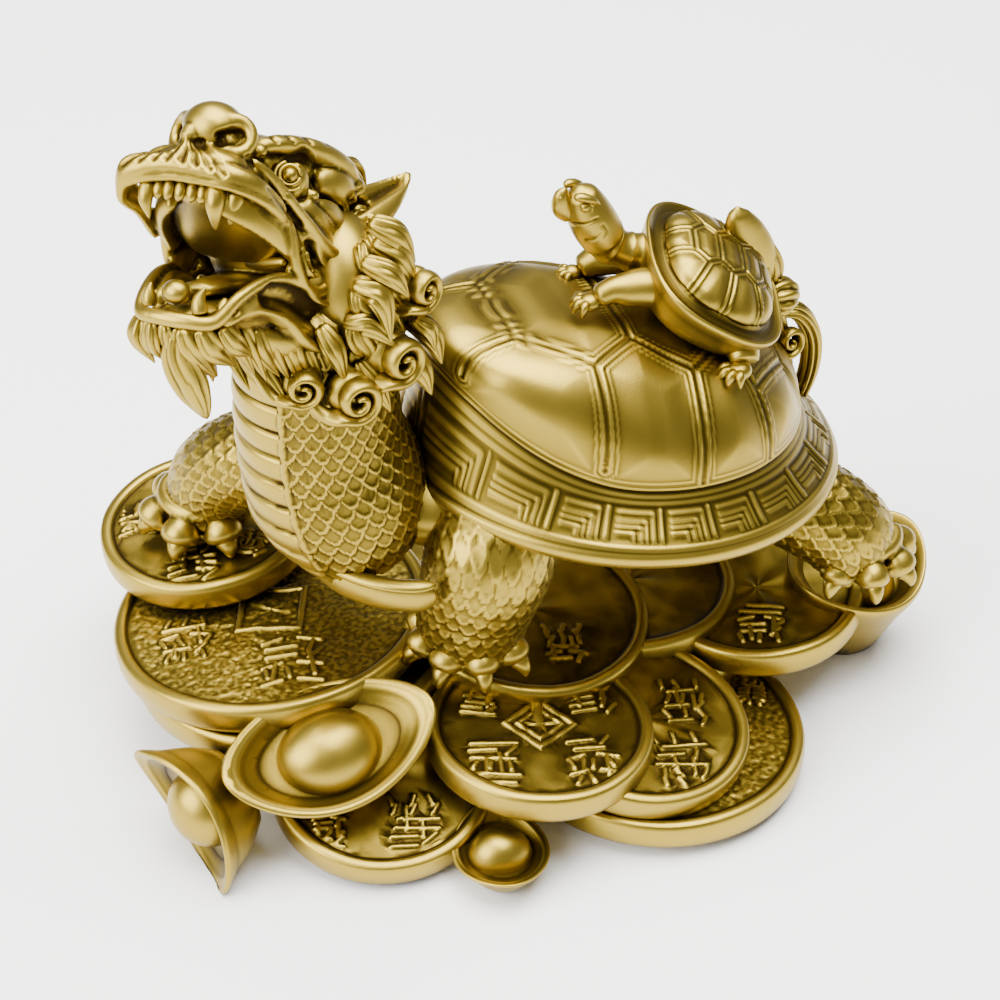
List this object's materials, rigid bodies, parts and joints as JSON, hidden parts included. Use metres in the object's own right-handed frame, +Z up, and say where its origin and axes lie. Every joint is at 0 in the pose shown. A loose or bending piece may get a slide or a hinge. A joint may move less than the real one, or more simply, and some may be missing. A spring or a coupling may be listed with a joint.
{
  "type": "dragon turtle figure",
  "caption": "Antique gold cast dragon turtle with open jaws, a small turtle on its shell, standing on a heap of coins and boat-shaped ingots.",
  "frame": {"origin": "on the table under the middle of the whole figure's bounding box", "axes": "+Z up, the dragon turtle's body points along -Y and its own left side is at +X"},
  "size_m": [0.1008, 0.1432, 0.1252],
  "materials": {
    "gold_casting": "antique gold with brown patina in the recesses"
  },
  "bodies": {
    "root": {"dragon_turtle": "gold_casting"}
  },
  "joints": []
}
